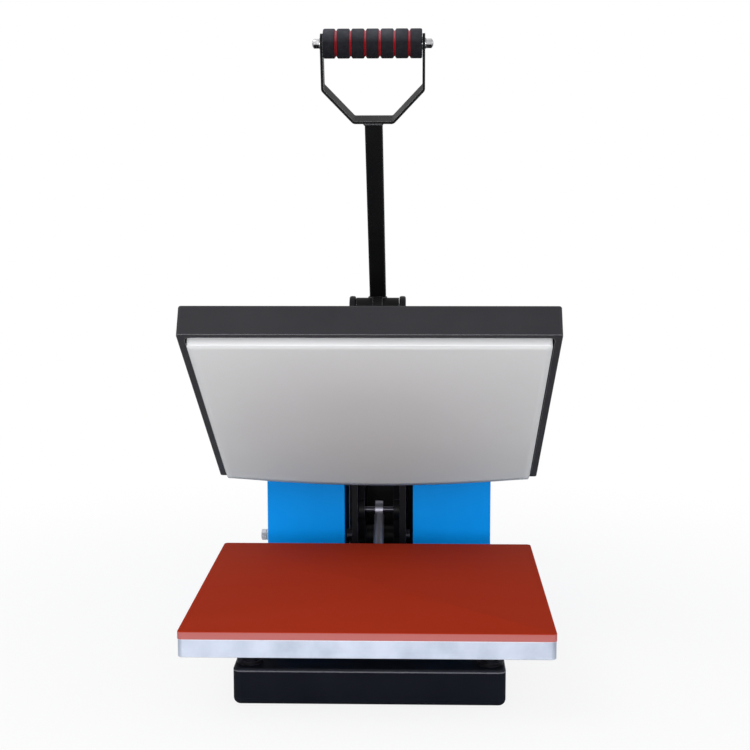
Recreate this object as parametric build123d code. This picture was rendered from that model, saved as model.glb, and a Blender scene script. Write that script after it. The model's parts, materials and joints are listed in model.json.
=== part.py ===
from build123d import *
import math
import os

# Flat clamshell heat press, shown open. Sizes are in millimetres.
# X runs across the press, Y runs to the back and Z is up from the table.

# Overall layout
overall_depth = 620.0
bed_size = 380.0
bed_y = (bed_size - overall_depth) / 2
back_y = overall_depth / 2
touch_gap = 0.3
running_gap = 0.05

# Base tray and its deck
foot_height = 2.0
foot_radius = 14.0
foot_inset = 30.0
base_width = 288.0
base_setback = 78.0
tray_height = 37.0
tray_wall = 2.0
tray_bottom_round = 7.0
tray_corner_round = 8.0
deck_thickness = 3.0
deck_edge_round = 2.2
base_front_y = bed_y - bed_size / 2 + base_setback
base_depth = back_y - base_front_y
base_mid_y = (back_y + base_front_y) / 2
deck_z = foot_height + tray_height + deck_thickness

# Lower bed: posts, aluminium plate and silicone pad
post_height = 36.3
post_radius = 10.0
post_flange_radius = 14.0
post_flange_height = 4.0
post_side_inset = 16.0
post_x = base_width / 2 - post_side_inset
post_front_ahead = 88.0
post_front_y = bed_y - post_front_ahead
post_back_behind = 130.0
post_back_y = bed_y + post_back_behind
bed_plate_thickness = 18.7
bed_corner = 5.0
bed_plate_inset = 0.5
bed_plate_round = 1.0
pad_thickness = 8.0
bed_z = deck_z + post_height
pad_z = bed_z + bed_plate_thickness
pad_top_z = pad_z + pad_thickness

# Upper platen, measured in the closed position
platen_rest_gap = 4.0
plate_drop = 8.0
plate_thickness = 14.0
plate_corner = 4.0
plate_edge_round = 1.5
sheet_thickness = 0.5
sheet_inset = 1.0
cover_margin = 10.0
cover_size = bed_size + 2 * cover_margin
cover_height = 34.5
cover_wall = 2.0
cover_corner = 3.0
cover_top_round = 2.5
cover_lip_gap = 2.5
insulation_inset = 4.0
press_travel = platen_rest_gap - sheet_thickness - touch_gap
rim_z = pad_top_z + platen_rest_gap + plate_drop
plate_z = rim_z - plate_drop
cover_top_z = rim_z + cover_height
cover_inner_z = cover_top_z - cover_wall

# Arm hinge at the back and the angle the arm is open by
hinge_behind = 329.7
hinge_y = bed_y + hinge_behind
hinge_below = 22.2
hinge_z = pad_top_z - hinge_below
open_angle = 32.25
shaft_radius = 8.0
shaft_tail = 5.0
sleeve_wall = 6.0
hinge_nut_width = 13.0
hinge_nut_height = 6.4
hinge_nut_count = 2
hinge_washer_thickness = 1.6
hinge_washer_radius = 8.6

# Layers across the mechanism, outwards from the middle
crank_half = 6.0
link_inner = 8.5
link_thickness = 6.0
cheek_inner = 18.5
cheek_thickness = 8.0
tower_inner = 27.0
tower_thickness = 8.0
tower_outer = tower_inner + tower_thickness
cheek_outer = cheek_inner + cheek_thickness
link_outer = link_inner + link_thickness

# Lever pivot on the towers
lever_behind = 235.0
lever_y = bed_y + lever_behind
lever_above = 287.5
lever_z = pad_top_z + lever_above
lever_pin_radius = 8.0
barrel_radius = 15.0
barrel_side_gap = 0.5
ear_radius = 17.0
ear_edge_round = 2.5
tower_foot_front_behind = 273.0
tower_foot_front_y = bed_y + tower_foot_front_behind
tower_foot_back_behind = 400.0
tower_foot_back_y = bed_y + tower_foot_back_behind
tower_waist_above = 180.0
tower_waist_z = deck_z + tower_waist_above
tower_round = 10.0
tie_rod_radius = 6.0
tie_rod_behind = 280.0
tie_rod_y = bed_y + tie_rod_behind
tie_rod_above = 226.0
tie_rod_z = pad_top_z + tie_rod_above
back_plate_thickness = 3.0
back_plate_height = 170.0
tower_back_drop = 16.0
tower_lean_front = 4.0
tower_lean_back = 8.0
tower_shoulder = 12.0

# Toggle: crank on the lever, two links and the heel of the arm
crank_length = 26.0
over_centre = 2.0
pivot_pin_radius = 5.0
link_eye_radius = 10.0
link_waist = 14.0
pin_head_radius = 7.5
pin_head_height = 1.5
pin_side_gap = 0.5
heel_behind = 240.0
heel_y = bed_y + heel_behind
heel_above = 70.0
heel_z = pad_top_z + heel_above
heel_radius = 16.0

# Arm cheeks in the closed position
arm_gap = 11.5
arm_height = 26.0
arm_front_ahead = 34.0
arm_front_y = bed_y - arm_front_ahead
arm_bend_behind = 206.0
arm_bend_y = bed_y + arm_bend_behind
arm_crown_behind = 262.0
arm_crown_y = bed_y + arm_crown_behind
arm_crown_rise = 20.0
arm_round = 8.0
arm_throat = 20.0
arm_heel_reach = 18.0
arm_hip_behind = 140.0
arm_hip_rise = 4.0
hinge_eye_radius = 22.0
arm_z = cover_top_z + arm_gap
arm_top_z = arm_z + arm_height
spacer_radius = 8.0
spacer_behind = 90.0
spacer_pitch = 70.0
spacer_places = (bed_y + spacer_behind, bed_y + spacer_behind + spacer_pitch)

# Gas strut that lifts the arm
strut_foot_behind = 215.0
strut_foot_y = bed_y + strut_foot_behind
strut_foot_above = 13.0
strut_foot_z = deck_z + strut_foot_above
strut_top_behind = 274.8
strut_top_y = bed_y + strut_top_behind
strut_top_below = 5.8
strut_top_z = pad_top_z - strut_top_below
strut_rod_radius = 4.0
strut_tube_radius = 6.5
strut_tube_length = 50.0
strut_eye_radius = 11.5
strut_eye_half = 5.0
strut_pin_radius = 4.0
strut_loose = 3.5
strut_rod_reach = 58.0
strut_end_wall = 4.0
strut_eye_sink = 2.0
lug_thickness = 5.0
lug_gap = 1.0
lug_pin_tail = 1.0

# Pressure screw, its knob and the guide rods
head_half_length = 34.0
head_height = 24.0
bracket_width = 130.0
bracket_depth = 120.0
bracket_thickness = 6.0
bracket_corner = 8.0
bracket_bolt_spread_x = 100.0
bracket_bolt_spread_y = 90.0
collar_radius = 15.0
collar_height = 4.0
spindle_radius = 8.0
guide_radius = 5.0
guide_offset = 24.5
guide_rise = 6.0
guide_chamfer = 1.0
knob_radius = 27.0
knob_height = 24.0
knob_lobes = 6
knob_clear = 12.0
knob_chamfer = 1.5
knob_socket = 10.0

# Lever tube and handle
lever_lean = 38.11
lever_length = 273.65
lever_set_back = 18.0
lever_tube = 20.0
lever_tube_wall = 2.0
handle_lean = 21.0
handle_width = 115.7
handle_rise = 88.9
handle_base = 45.5
handle_slope_rise = 38.5
strap_width = 22.0
strap_thickness = 3.0
strap_bend = 6.0

# Turning grip
grip_radius = 16.2
grip_segments = 7
grip_pitch = 16.1
grip_groove = 2.8
grip_groove_depth = 1.8
grip_core_radius = 7.0
grip_bolt_radius = 2.5
nut_width = 8.0
nut_height = 5.0
nut_dome = 2.3
washer_thickness = 1.2
washer_radius = 6.0

# Rear boxes
box_gap = 88.0
box_front_behind = 268.0
box_front_y = bed_y + box_front_behind
box_back_inset = 12.0
box_back_y = back_y - box_back_inset
box_height = 212.0
box_slope_rise = 60.0
box_slope_run = 36.0
box_wall = 1.5
box_edge_round = 1.2
back_cover_thickness = 2.0
back_cover_inset = 2.0
vent_count = 6
vent_length = 52.0
vent_height = 3.0
vent_pitch = 9.0
vent_inset = 30.0
box_width = (base_width - box_gap) / 2
box_mid_x = (base_width + box_gap) / 4
box_top_z = deck_z + box_height

# Controller panel, switch and mains fittings
panel_width = 84.0
panel_height = 56.0
panel_thickness = 4.5
panel_corner = 4.0
panel_bed = 1.0
panel_chamfer = 0.8
screen_drop = 7.0
button_lift = 12.0
screen_width = 62.0
screen_height = 22.0
screen_recess = 1.0
button_radius = 4.5
button_count = 4
button_pitch = 17.0
button_proud = 2.0
button_travel = 1.2
button_chamfer = 0.6
switch_width = 24.0
switch_height = 32.0
switch_frame = 3.5
switch_corner = 2.0
rocker_width = 14.0
rocker_length = 21.0
rocker_tilt = 8.0
rocker_side_gap = 0.3
rocker_end_gap = 0.75
rocker_crest = 1.2
rocker_rise = 1.0
rocker_skirt = 0.3
rocker_taper = 1.6
inlet_width = 28.0
inlet_height = 21.0
inlet_flange = 4.0
inlet_flange_side = 10.0
inlet_flange_end = 4.0
inlet_hood = 3.0
inlet_round = 3.0
inlet_wall = 2.5
inlet_floor = 1.0
inlet_above = 59.0
fuse_above = 106.0
fuse_nut_radius = 9.0
fuse_nut_height = 3.0
fuse_cap_radius = 6.5
fuse_cap_height = 9.0
fuse_slot_width = 1.6
fuse_slot_depth = 1.0

# Screws
screw_radius = 3.5
screw_height = 2.2
screw_inset = 8.0
screw_end_inset = 14.0
bolt_width = 13.0
bolt_height = 5.5

os.makedirs("parts", exist_ok=True)


def save(name, shape):
    """Write one piece of the press as its own file."""
    export_step(shape, f"parts/{name}.step")


def group(pieces):
    """Loose pieces of one kind, kept as separate solids."""
    return Compound(children=list(pieces))


def polygon(points):
    return make_face(Polyline(*points, close=True))


def rounded_polygon(points, radius):
    face = polygon(points)
    return fillet(face.vertices(), radius)


def disc(place, radius):
    return Pos(place[0], place[1]) * Circle(radius)


def side_plate(outline, x_low, thickness):
    """An outline drawn in Y and Z, thickened along X."""
    return extrude(Plane.YZ.offset(x_low) * outline, amount=thickness)


def rod_x(place, radius, x_low, x_high):
    return side_plate(disc(place, radius), x_low, x_high - x_low)


def tube_x(place, outer, inner, x_low, x_high):
    ring = disc(place, outer) - disc(place, inner)
    return side_plate(ring, x_low, x_high - x_low)


def both_sides(shape):
    return [shape, mirror(shape, Plane.YZ)]


def turned(point, pivot, degrees):
    """A point in Y and Z turned about a pivot, anticlockwise seen from +X."""
    angle = math.radians(degrees)
    dy = point[0] - pivot[0]
    dz = point[1] - pivot[1]
    return (
        pivot[0] + dy * math.cos(angle) - dz * math.sin(angle),
        pivot[1] + dy * math.sin(angle) + dz * math.cos(angle),
    )


def opened(shape):
    """Swing a piece of the closed arm up to where it stands open."""
    return shape.rotate(Axis((0, hinge_y, hinge_z), (1, 0, 0)), -open_angle)


def slab(width, depth, height, place, corner):
    """A plate with rounded upright corners, standing on its place."""
    outline = RectangleRounded(width, depth, corner)
    return Pos(*place) * extrude(outline, amount=height)


def hex_head(width, height):
    """A hexagon head standing on Z = 0 with its top edge eased."""
    head = extrude(RegularPolygon(width / 2, 6, major_radius=False), amount=height)
    return chamfer(head.faces().sort_by(Axis.Z)[-1].edges(), height * 0.12)


def round_screw(radius, height):
    """A low tapered screw head, standing on Z = 0."""
    return Cone(radius, radius * 0.8, height, align=(Align.CENTER, Align.CENTER, Align.MIN))


# Toggle geometry, solved from the closed position
hinge = (hinge_y, hinge_z)
lever_pivot = (lever_y, lever_z)
heel_closed = (heel_y, heel_z)
heel_open = turned(heel_closed, hinge, -open_angle)
line_closed = math.atan2(heel_closed[1] - lever_z, heel_closed[0] - lever_y)
crank_closed_angle = line_closed + math.radians(over_centre)
crank_closed = (
    lever_y + crank_length * math.cos(crank_closed_angle),
    lever_z + crank_length * math.sin(crank_closed_angle),
)
link_length = math.dist(crank_closed, heel_closed)
reach_open = math.dist(lever_pivot, heel_open)
line_open = math.atan2(heel_open[1] - lever_z, heel_open[0] - lever_y)
crank_corner = math.acos(
    (crank_length**2 + reach_open**2 - link_length**2) / (2 * crank_length * reach_open)
)
crank_open_angle = line_open - crank_corner
crank_open = (
    lever_y + crank_length * math.cos(crank_open_angle),
    lever_z + crank_length * math.sin(crank_open_angle),
)
lever_swing = math.degrees(crank_closed_angle - crank_open_angle)
link_open_angle = math.atan2(heel_open[1] - crank_open[1], heel_open[0] - crank_open[0])
link_closed_angle = math.atan2(heel_closed[1] - crank_closed[1], heel_closed[0] - crank_closed[0])
link_swing = math.degrees(link_closed_angle - link_open_angle)

# Gas strut geometry, from the same hinge
strut_foot = (strut_foot_y, strut_foot_z)
strut_top_closed = (strut_top_y, strut_top_z)
strut_top_open = turned(strut_top_closed, hinge, -open_angle)
strut_open_length = math.dist(strut_foot, strut_top_open)
strut_closed_length = math.dist(strut_foot, strut_top_closed)
strut_open_angle = math.atan2(strut_top_open[1] - strut_foot_z, strut_top_open[0] - strut_foot_y)
strut_closed_angle = math.atan2(
    strut_top_closed[1] - strut_foot_z, strut_top_closed[0] - strut_foot_y
)
strut_swing = math.degrees(strut_closed_angle - strut_open_angle)
strut_place = Pos(0, strut_foot_y, strut_foot_z) * Rot(X=math.degrees(strut_open_angle) - 90)


def make_base():
    """Rounded steel tray, its deck and the low rubber feet."""
    tray = slab(base_width, base_depth, tray_height, (0, base_mid_y, foot_height), tray_corner_round)
    tray = fillet(tray.faces().sort_by(Axis.Z)[0].edges(), tray_bottom_round)
    inner = slab(
        base_width - 2 * tray_wall,
        base_depth - 2 * tray_wall,
        tray_height,
        (0, base_mid_y, foot_height + tray_wall),
        tray_corner_round - tray_wall,
    )
    inner = fillet(inner.faces().sort_by(Axis.Z)[0].edges(), tray_bottom_round - tray_wall)
    save("base_tray", tray - inner)
    deck = slab(
        base_width, base_depth, deck_thickness, (0, base_mid_y, deck_z - deck_thickness), tray_corner_round
    )
    save("base_deck", fillet(deck.faces().sort_by(Axis.Z)[-1].edges(), deck_edge_round))
    feet = []
    for x in (-base_width / 2 + foot_inset, base_width / 2 - foot_inset):
        for y in (base_front_y + foot_inset, back_y - foot_inset):
            feet.append(Pos(x, y, foot_height / 2) * Cylinder(foot_radius, foot_height))
    save("rubber_feet", group(feet))


def make_bed():
    """Flanged posts, the aluminium bed plate and the silicone pad on it."""
    posts = []
    for x in (-post_x, post_x):
        for y in (post_front_y, post_back_y):
            foot = Pos(x, y, deck_z) * extrude(Circle(post_flange_radius), amount=post_flange_height)
            post = Pos(x, y, deck_z) * extrude(Circle(post_radius), amount=post_height)
            posts.append(foot + post)
    save("bed_posts", group(posts))
    plate_side = bed_size - 2 * bed_plate_inset
    plate = slab(plate_side, plate_side, bed_plate_thickness, (0, bed_y, bed_z), bed_corner)
    save("bed_plate", fillet(plate.faces().sort_by(Axis.Z)[0].edges(), bed_plate_round))
    save("silicone_pad", slab(bed_size, bed_size, pad_thickness, (0, bed_y, pad_z), bed_corner))


def tower_outline():
    """Side view of one tower: a wide foot that leans forward to a rounded ear."""
    body = rounded_polygon(
        [
            (tower_foot_front_y, deck_z),
            (tower_foot_front_y - tower_lean_front, tower_waist_z),
            (lever_y - ear_radius * 0.94, lever_z - ear_radius / 3),
            (lever_y + ear_radius / 3, lever_z + tower_shoulder),
            (tower_foot_back_y - tower_lean_back, tower_waist_z - tower_back_drop),
            (tower_foot_back_y, deck_z),
        ],
        tower_round / 2,
    )
    foot = Pos((tower_foot_front_y + tower_foot_back_y) / 2, deck_z + tower_round / 2) * Rectangle(
        tower_foot_back_y - tower_foot_front_y, tower_round
    )
    outline = body + foot + disc(lever_pivot, ear_radius)
    outline -= disc(lever_pivot, lever_pin_radius)
    outline -= disc(hinge, shaft_radius)
    outline -= disc((tie_rod_y, tie_rod_z), tie_rod_radius)
    return outline


def make_towers():
    tower = side_plate(tower_outline(), tower_inner, tower_thickness)
    arcs = tower.edges().filter_by(GeomType.CIRCLE)
    tower = fillet([arc for arc in arcs if math.isclose(arc.radius, ear_radius)], ear_edge_round)
    right, left = both_sides(tower)
    save("tower_right", right)
    save("tower_left", left)
    plate_place = Pos(0, tower_foot_back_y + back_plate_thickness / 2, deck_z + back_plate_height / 2)
    plate_width = box_gap - 2 * touch_gap
    save("tower_back_plate", plate_place * Box(plate_width, back_plate_thickness, back_plate_height))
    save("tower_tie_rod", rod_x((tie_rod_y, tie_rod_z), tie_rod_radius, -tower_outer, tower_outer))
    save("lever_pin", rod_x(lever_pivot, lever_pin_radius, -tower_outer, tower_outer))


def make_hinge_shaft():
    """One shaft carries the arm; its end with two nuts shows beside the left box."""
    half = base_width / 2
    save("hinge_shaft", rod_x(hinge, shaft_radius, -half, tower_outer + shaft_tail))
    washer_x = -half - hinge_washer_thickness
    pieces = [rod_x(hinge, hinge_washer_radius, washer_x, -half)]
    for i in range(hinge_nut_count):
        place = Pos(washer_x - i * hinge_nut_height, hinge_y, hinge_z) * Rot(Y=-90)
        pieces.append(place * hex_head(hinge_nut_width, hinge_nut_height))
    save("hinge_bolt", group(pieces))


def arm_outline():
    """Side view of one cheek: level over the cover, then down to the hinge."""
    body = rounded_polygon(
        [
            (arm_front_y, arm_z),
            (arm_bend_y, arm_z),
            (hinge_y - arm_throat, hinge_z - hinge_eye_radius * 0.55),
            (hinge_y + arm_heel_reach, hinge_z + hinge_eye_radius * 0.27),
            (hinge_y - arm_throat, arm_top_z + arm_hip_rise),
            (arm_crown_y, arm_top_z + arm_crown_rise),
            (bed_y + arm_hip_behind, arm_top_z + arm_hip_rise),
            (arm_front_y, arm_top_z),
        ],
        arm_round / 2,
    )
    outline = body + disc(hinge, hinge_eye_radius) + disc(heel_closed, heel_radius)
    outline += disc(strut_top_closed, strut_eye_radius + strut_eye_sink)
    outline -= disc(hinge, shaft_radius + running_gap)
    outline -= disc(heel_closed, pivot_pin_radius)
    outline -= disc(strut_top_closed, strut_pin_radius)
    return outline


def make_arm():
    cheek = opened(side_plate(arm_outline(), cheek_inner, cheek_thickness))
    right, left = both_sides(cheek)
    save("arm_cheek_right", right)
    save("arm_cheek_left", left)
    sleeve = tube_x(hinge, shaft_radius + sleeve_wall, shaft_radius + running_gap, -cheek_inner, cheek_inner)
    save("arm_sleeve", sleeve)
    spacer_z = arm_z + arm_height / 2
    spacers = [
        opened(rod_x((y, spacer_z), spacer_radius, -cheek_inner, cheek_inner)) for y in spacer_places
    ]
    save("arm_spacers", group(spacers))
    head = Pos(0, bed_y, arm_z + head_height / 2) * Box(2 * cheek_inner, 2 * head_half_length, head_height)
    head -= Pos(0, bed_y, arm_z) * Cylinder(spindle_radius + running_gap, 4 * head_height)
    for y in (-guide_offset, guide_offset):
        head -= Pos(0, bed_y + y, arm_z) * Cylinder(guide_radius + running_gap, 4 * head_height)
    save("arm_head", opened(head))
    heel_pin = rod_x(heel_closed, pivot_pin_radius, cheek_inner - pin_side_gap, cheek_outer)
    save("heel_pins", group(both_sides(opened(heel_pin))))
    save("strut_top_pin", opened(rod_x(strut_top_closed, strut_pin_radius, -cheek_outer, cheek_outer)))


def make_platen():
    """Heated platen: pressed cover, insulation, hot plate and release sheet."""
    cover = slab(cover_size, cover_size, cover_height, (0, bed_y, rim_z), cover_corner)
    cover = fillet(cover.faces().sort_by(Axis.Z)[-1].edges(), cover_top_round)
    inner = slab(
        cover_size - 2 * cover_wall,
        cover_size - 2 * cover_wall,
        cover_height - cover_wall,
        (0, bed_y, rim_z),
        cover_corner - cover_wall,
    )
    inner = fillet(inner.faces().sort_by(Axis.Z)[-1].edges(), cover_top_round - cover_wall)
    mouth_side = bed_size + 2 * cover_lip_gap
    lip = slab(cover_size, cover_size, cover_wall, (0, bed_y, rim_z), cover_corner)
    lip -= slab(mouth_side, mouth_side, cover_wall, (0, bed_y, rim_z), plate_corner + cover_lip_gap)
    save("platen_cover", opened(cover - inner + lip))
    plate = slab(bed_size, bed_size, plate_thickness, (0, bed_y, plate_z), plate_corner)
    plate = fillet(plate.faces().sort_by(Axis.Z)[0].edges(), plate_edge_round)
    save("heating_plate", opened(plate))
    insulation_side = bed_size - 2 * insulation_inset
    insulation_z = plate_z + plate_thickness
    insulation = slab(
        insulation_side,
        insulation_side,
        cover_inner_z - insulation_z,
        (0, bed_y, insulation_z),
        plate_corner,
    )
    save("insulation_board", opened(insulation))
    sheet_side = bed_size - 2 * sheet_inset
    sheet = slab(sheet_side, sheet_side, sheet_thickness, (0, bed_y, plate_z - sheet_thickness), plate_corner)
    save("release_sheet", opened(sheet))
    bracket = slab(bracket_width, bracket_depth, bracket_thickness, (0, bed_y, cover_top_z), bracket_corner)
    bracket_top = cover_top_z + bracket_thickness
    collar = Pos(0, bed_y, bracket_top + collar_height / 2) * Cylinder(collar_radius, collar_height)
    bracket += collar
    socket = extrude(Circle(spindle_radius + running_gap), amount=bracket_thickness + collar_height)
    bracket -= Pos(0, bed_y, cover_top_z + touch_gap) * socket
    for y in (-guide_offset, guide_offset):
        bracket -= Pos(0, bed_y + y, bracket_top) * Cylinder(guide_radius, 4 * bracket_thickness)
    save("platen_bracket", opened(bracket))
    bolts = []
    for x in (-bracket_bolt_spread_x / 2, bracket_bolt_spread_x / 2):
        for y in (-bracket_bolt_spread_y / 2, bracket_bolt_spread_y / 2):
            bolts.append(opened(Pos(x, bed_y + y, bracket_top) * hex_head(bolt_width, bolt_height)))
    save("bracket_bolts", group(bolts))
    rod_top = arm_z + head_height + guide_rise
    rods = []
    for y in (-guide_offset, guide_offset):
        rod = Pos(0, bed_y + y, cover_top_z) * extrude(Circle(guide_radius), amount=rod_top - cover_top_z)
        rods.append(opened(chamfer(rod.faces().sort_by(Axis.Z)[-1].edges(), guide_chamfer)))
    save("guide_rods", group(rods))


def make_pressure_screw():
    """Screw and star knob on top of the arm; turning it lowers the platen."""
    foot_z = cover_top_z + 2 * touch_gap
    knob_z = arm_z + head_height + knob_clear
    spindle = extrude(Circle(spindle_radius), amount=knob_z + knob_socket - foot_z)
    save("pressure_spindle", opened(Pos(0, bed_y, foot_z) * spindle))
    outline = Circle(knob_radius * 0.82)
    for i in range(knob_lobes):
        angle = 2 * math.pi * i / knob_lobes
        reach = knob_radius * 0.72
        outline += Pos(reach * math.cos(angle), reach * math.sin(angle)) * Circle(knob_radius * 0.28)
    knob = Pos(0, bed_y, knob_z) * extrude(outline, amount=knob_height)
    knob = chamfer(knob.faces().sort_by(Axis.Z)[-1].edges(), knob_chamfer)
    knob -= Pos(0, bed_y, knob_z) * Cylinder(spindle_radius, 2 * knob_socket)
    save("pressure_knob", opened(knob))


lever_place = Pos(0, lever_y, lever_z) * Rot(X=lever_lean) * Pos(0, lever_set_back, 0)
handle_foot = turned((lever_y + lever_set_back, lever_z + lever_length), lever_pivot, lever_lean)
handle_place = Pos(0, handle_foot[0], handle_foot[1]) * Rot(X=handle_lean)
grip_axis = turned((handle_foot[0], handle_foot[1] + handle_rise), handle_foot, handle_lean)


def lever_block(side, length):
    return lever_place * extrude(RectangleRounded(side, side, side / 8), amount=length)


def crank_outline():
    """Short crank under the barrel, widest at the lever pivot."""
    along = crank_open_angle
    side = (-math.sin(along), math.cos(along))
    web = polygon(
        [
            (lever_y + side[0] * ear_radius, lever_z + side[1] * ear_radius),
            (crank_open[0] + side[0] * link_eye_radius, crank_open[1] + side[1] * link_eye_radius),
            (crank_open[0] - side[0] * link_eye_radius, crank_open[1] - side[1] * link_eye_radius),
            (lever_y - side[0] * ear_radius, lever_z - side[1] * ear_radius),
        ]
    )
    outline = web + disc(lever_pivot, ear_radius) + disc(crank_open, link_eye_radius)
    return outline - disc(lever_pivot, barrel_radius) - disc(crank_open, pivot_pin_radius)


def make_lever():
    """Barrel, crank, square tube welded behind the barrel, and the handle's strap."""
    barrel_half = tower_inner - barrel_side_gap
    save(
        "lever_barrel",
        tube_x(lever_pivot, barrel_radius, lever_pin_radius + running_gap, -barrel_half, barrel_half),
    )
    barrel_space = rod_x(lever_pivot, barrel_radius, -barrel_half, barrel_half)
    crank = side_plate(crank_outline(), -crank_half, 2 * crank_half) - lever_block(lever_tube, lever_length)
    save("crank_plate", crank)
    pin_half = link_outer + pin_side_gap
    crank_pin = rod_x(crank_open, pivot_pin_radius, -pin_half, pin_half)
    heads = both_sides(rod_x(crank_open, pin_head_radius, pin_half, pin_half + pin_head_height))
    save("crank_pin", crank_pin + heads[0] + heads[1])
    long_enough = lever_length + lever_tube
    tube = lever_block(lever_tube, long_enough) - lever_block(lever_tube - 2 * lever_tube_wall, long_enough)
    cutter = 2 * handle_width
    above = handle_place * Box(cutter, cutter, cutter, align=(Align.CENTER, Align.CENTER, Align.MIN))
    save("lever_tube", tube - barrel_space - above)
    half = handle_width / 2
    outline = [
        (-half, handle_rise),
        (-half, handle_slope_rise),
        (-handle_base / 2, 0),
        (handle_base / 2, 0),
        (half, handle_slope_rise),
        (half, handle_rise),
    ]
    outer = polygon(outline)
    bends = [v for v in outer.vertices() if v.Y < handle_rise - strap_thickness]
    outer = fillet(bends, strap_bend)
    inner = offset(outer, -strap_thickness)
    upper_half = (handle_rise - handle_slope_rise) / 2
    mouth = Rectangle(handle_width - 2 * strap_thickness, upper_half)
    inner += Pos(0, handle_rise - upper_half / 2) * mouth
    strap = extrude(Plane.XZ * (outer - inner), amount=strap_width / 2, both=True)
    for x in (-half, half - strap_thickness):
        eye = Plane.YZ.offset(x) * disc((0, handle_rise), strap_width / 2)
        strap += extrude(eye, amount=strap_thickness)
    strap -= Pos(0, 0, handle_rise) * Rot(Y=90) * Cylinder(grip_bolt_radius, 2 * handle_width)
    save("handle_strap", handle_place * strap)


def make_grip():
    """Foam grip in ringed segments, free to turn on its bolt."""
    half = handle_width / 2
    bolt_half = half + washer_thickness + nut_height / 2
    inside = half - strap_thickness
    save("grip_bolt", rod_x(grip_axis, grip_bolt_radius, -bolt_half, bolt_half))
    save("grip_core", tube_x(grip_axis, grip_core_radius, grip_bolt_radius, -inside, inside))
    washer = tube_x(grip_axis, washer_radius, grip_bolt_radius, half, half + washer_thickness)
    nut = hex_head(nut_width, nut_height)
    nut += Pos(0, 0, nut_height + nut_dome / 2) * Cone(nut_width * 0.42, nut_width * 0.22, nut_dome)
    nut -= Cylinder(grip_bolt_radius, nut_height)
    nut = Pos(half + washer_thickness, grip_axis[0], grip_axis[1]) * Rot(Y=90) * nut
    save("grip_nuts", group(both_sides(washer) + both_sides(nut)))
    foam_length = 2 * (inside - touch_gap)
    bore = grip_core_radius + touch_gap
    segments = []
    rings = []
    for i in range(grip_segments):
        low = (i - grip_segments / 2) * grip_pitch
        high = low + grip_pitch
        start = low + grip_groove / 2 if i else -foam_length / 2
        end = high - grip_groove / 2 if i < grip_segments - 1 else foam_length / 2
        segment = rod_x(grip_axis, grip_radius, start, end)
        rims = segment.edges().filter_by(GeomType.CIRCLE)
        segment = chamfer(rims, grip_groove_depth * 0.6)
        segments.append(segment - rod_x(grip_axis, bore, start, end))
        if i:
            rings.append(
                tube_x(
                    grip_axis,
                    grip_radius - grip_groove_depth,
                    bore,
                    low - grip_groove / 2,
                    low + grip_groove / 2,
                )
            )
    save("grip_foam", group(segments))
    save("grip_rings", group(rings))


def make_links():
    """Two straight links hang from the crank and reach down to the heel."""
    along = (math.cos(link_open_angle), math.sin(link_open_angle))
    side = (-along[1], along[0])
    half = link_waist / 2
    bar = polygon(
        [
            (crank_open[0] + side[0] * half, crank_open[1] + side[1] * half),
            (heel_open[0] + side[0] * half, heel_open[1] + side[1] * half),
            (heel_open[0] - side[0] * half, heel_open[1] - side[1] * half),
            (crank_open[0] - side[0] * half, crank_open[1] - side[1] * half),
        ]
    )
    outline = bar + disc(crank_open, link_eye_radius) + disc(heel_open, link_eye_radius)
    outline -= disc(crank_open, pivot_pin_radius + running_gap)
    outline -= disc(heel_open, pivot_pin_radius)
    right, left = both_sides(side_plate(outline, link_inner, link_thickness))
    save("link_right", right)
    save("link_left", left)
    pin = rod_x(heel_open, pivot_pin_radius, -link_outer, link_outer)
    heads = both_sides(rod_x(heel_open, pin_head_radius, link_outer, link_outer + pin_head_height))
    save("link_foot_pin", pin + heads[0] + heads[1])


def make_strut():
    """Short gas strut: rod below, cylinder above, between a foot lug and the arm."""
    eye = Rot(Y=90) * Cylinder(strut_eye_radius, 2 * strut_eye_half)
    rod = extrude(Circle(strut_rod_radius), amount=strut_rod_reach) + eye
    rod -= Rot(Y=90) * Cylinder(strut_pin_radius + running_gap, 4 * strut_eye_half)
    save("strut_rod", strut_place * rod)
    tube_top = strut_open_length - strut_eye_radius + strut_eye_sink
    tube_foot = tube_top - strut_tube_length
    tube = Pos(0, 0, tube_foot) * extrude(Circle(strut_tube_radius), amount=strut_tube_length)
    tube += Pos(0, 0, strut_open_length) * eye
    bore_depth = strut_tube_length - strut_end_wall
    tube -= Pos(0, 0, tube_foot) * extrude(Circle(strut_rod_radius + running_gap), amount=bore_depth)
    loose_eye = Rot(Y=90) * Cylinder(strut_pin_radius + strut_loose, 4 * strut_eye_half)
    tube -= Pos(0, 0, strut_open_length) * loose_eye
    save("strut_cylinder", strut_place * tube)
    lug_low = strut_eye_half + lug_gap
    lug = Pos(strut_foot_y, (strut_foot_z + deck_z) / 2) * Rectangle(
        2 * strut_eye_radius, strut_foot_z - deck_z
    )
    lug = lug + disc(strut_foot, strut_eye_radius) - disc(strut_foot, strut_pin_radius)
    lugs = both_sides(side_plate(lug, lug_low, lug_thickness))
    pin_half = lug_low + lug_thickness + lug_pin_tail
    pin = rod_x(strut_foot, strut_pin_radius, -pin_half, pin_half)
    save("strut_lugs", lugs[0] + lugs[1] + pin)


def box_profile(grow):
    """Side view of a rear box with its sloping panel; grow is negative inside."""
    slope_z = box_top_z - box_slope_rise
    outline = polygon(
        [
            (box_front_y, deck_z),
            (box_front_y, slope_z),
            (box_front_y + box_slope_run, box_top_z),
            (box_back_y, box_top_z),
            (box_back_y, deck_z),
        ]
    )
    return offset(outline, grow, kind=Kind.INTERSECTION) if grow else outline


slope_angle = math.degrees(math.atan2(box_slope_rise, box_slope_run))
panel_mid = (box_front_y + box_slope_run / 2, box_top_z - box_slope_rise / 2)


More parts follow.
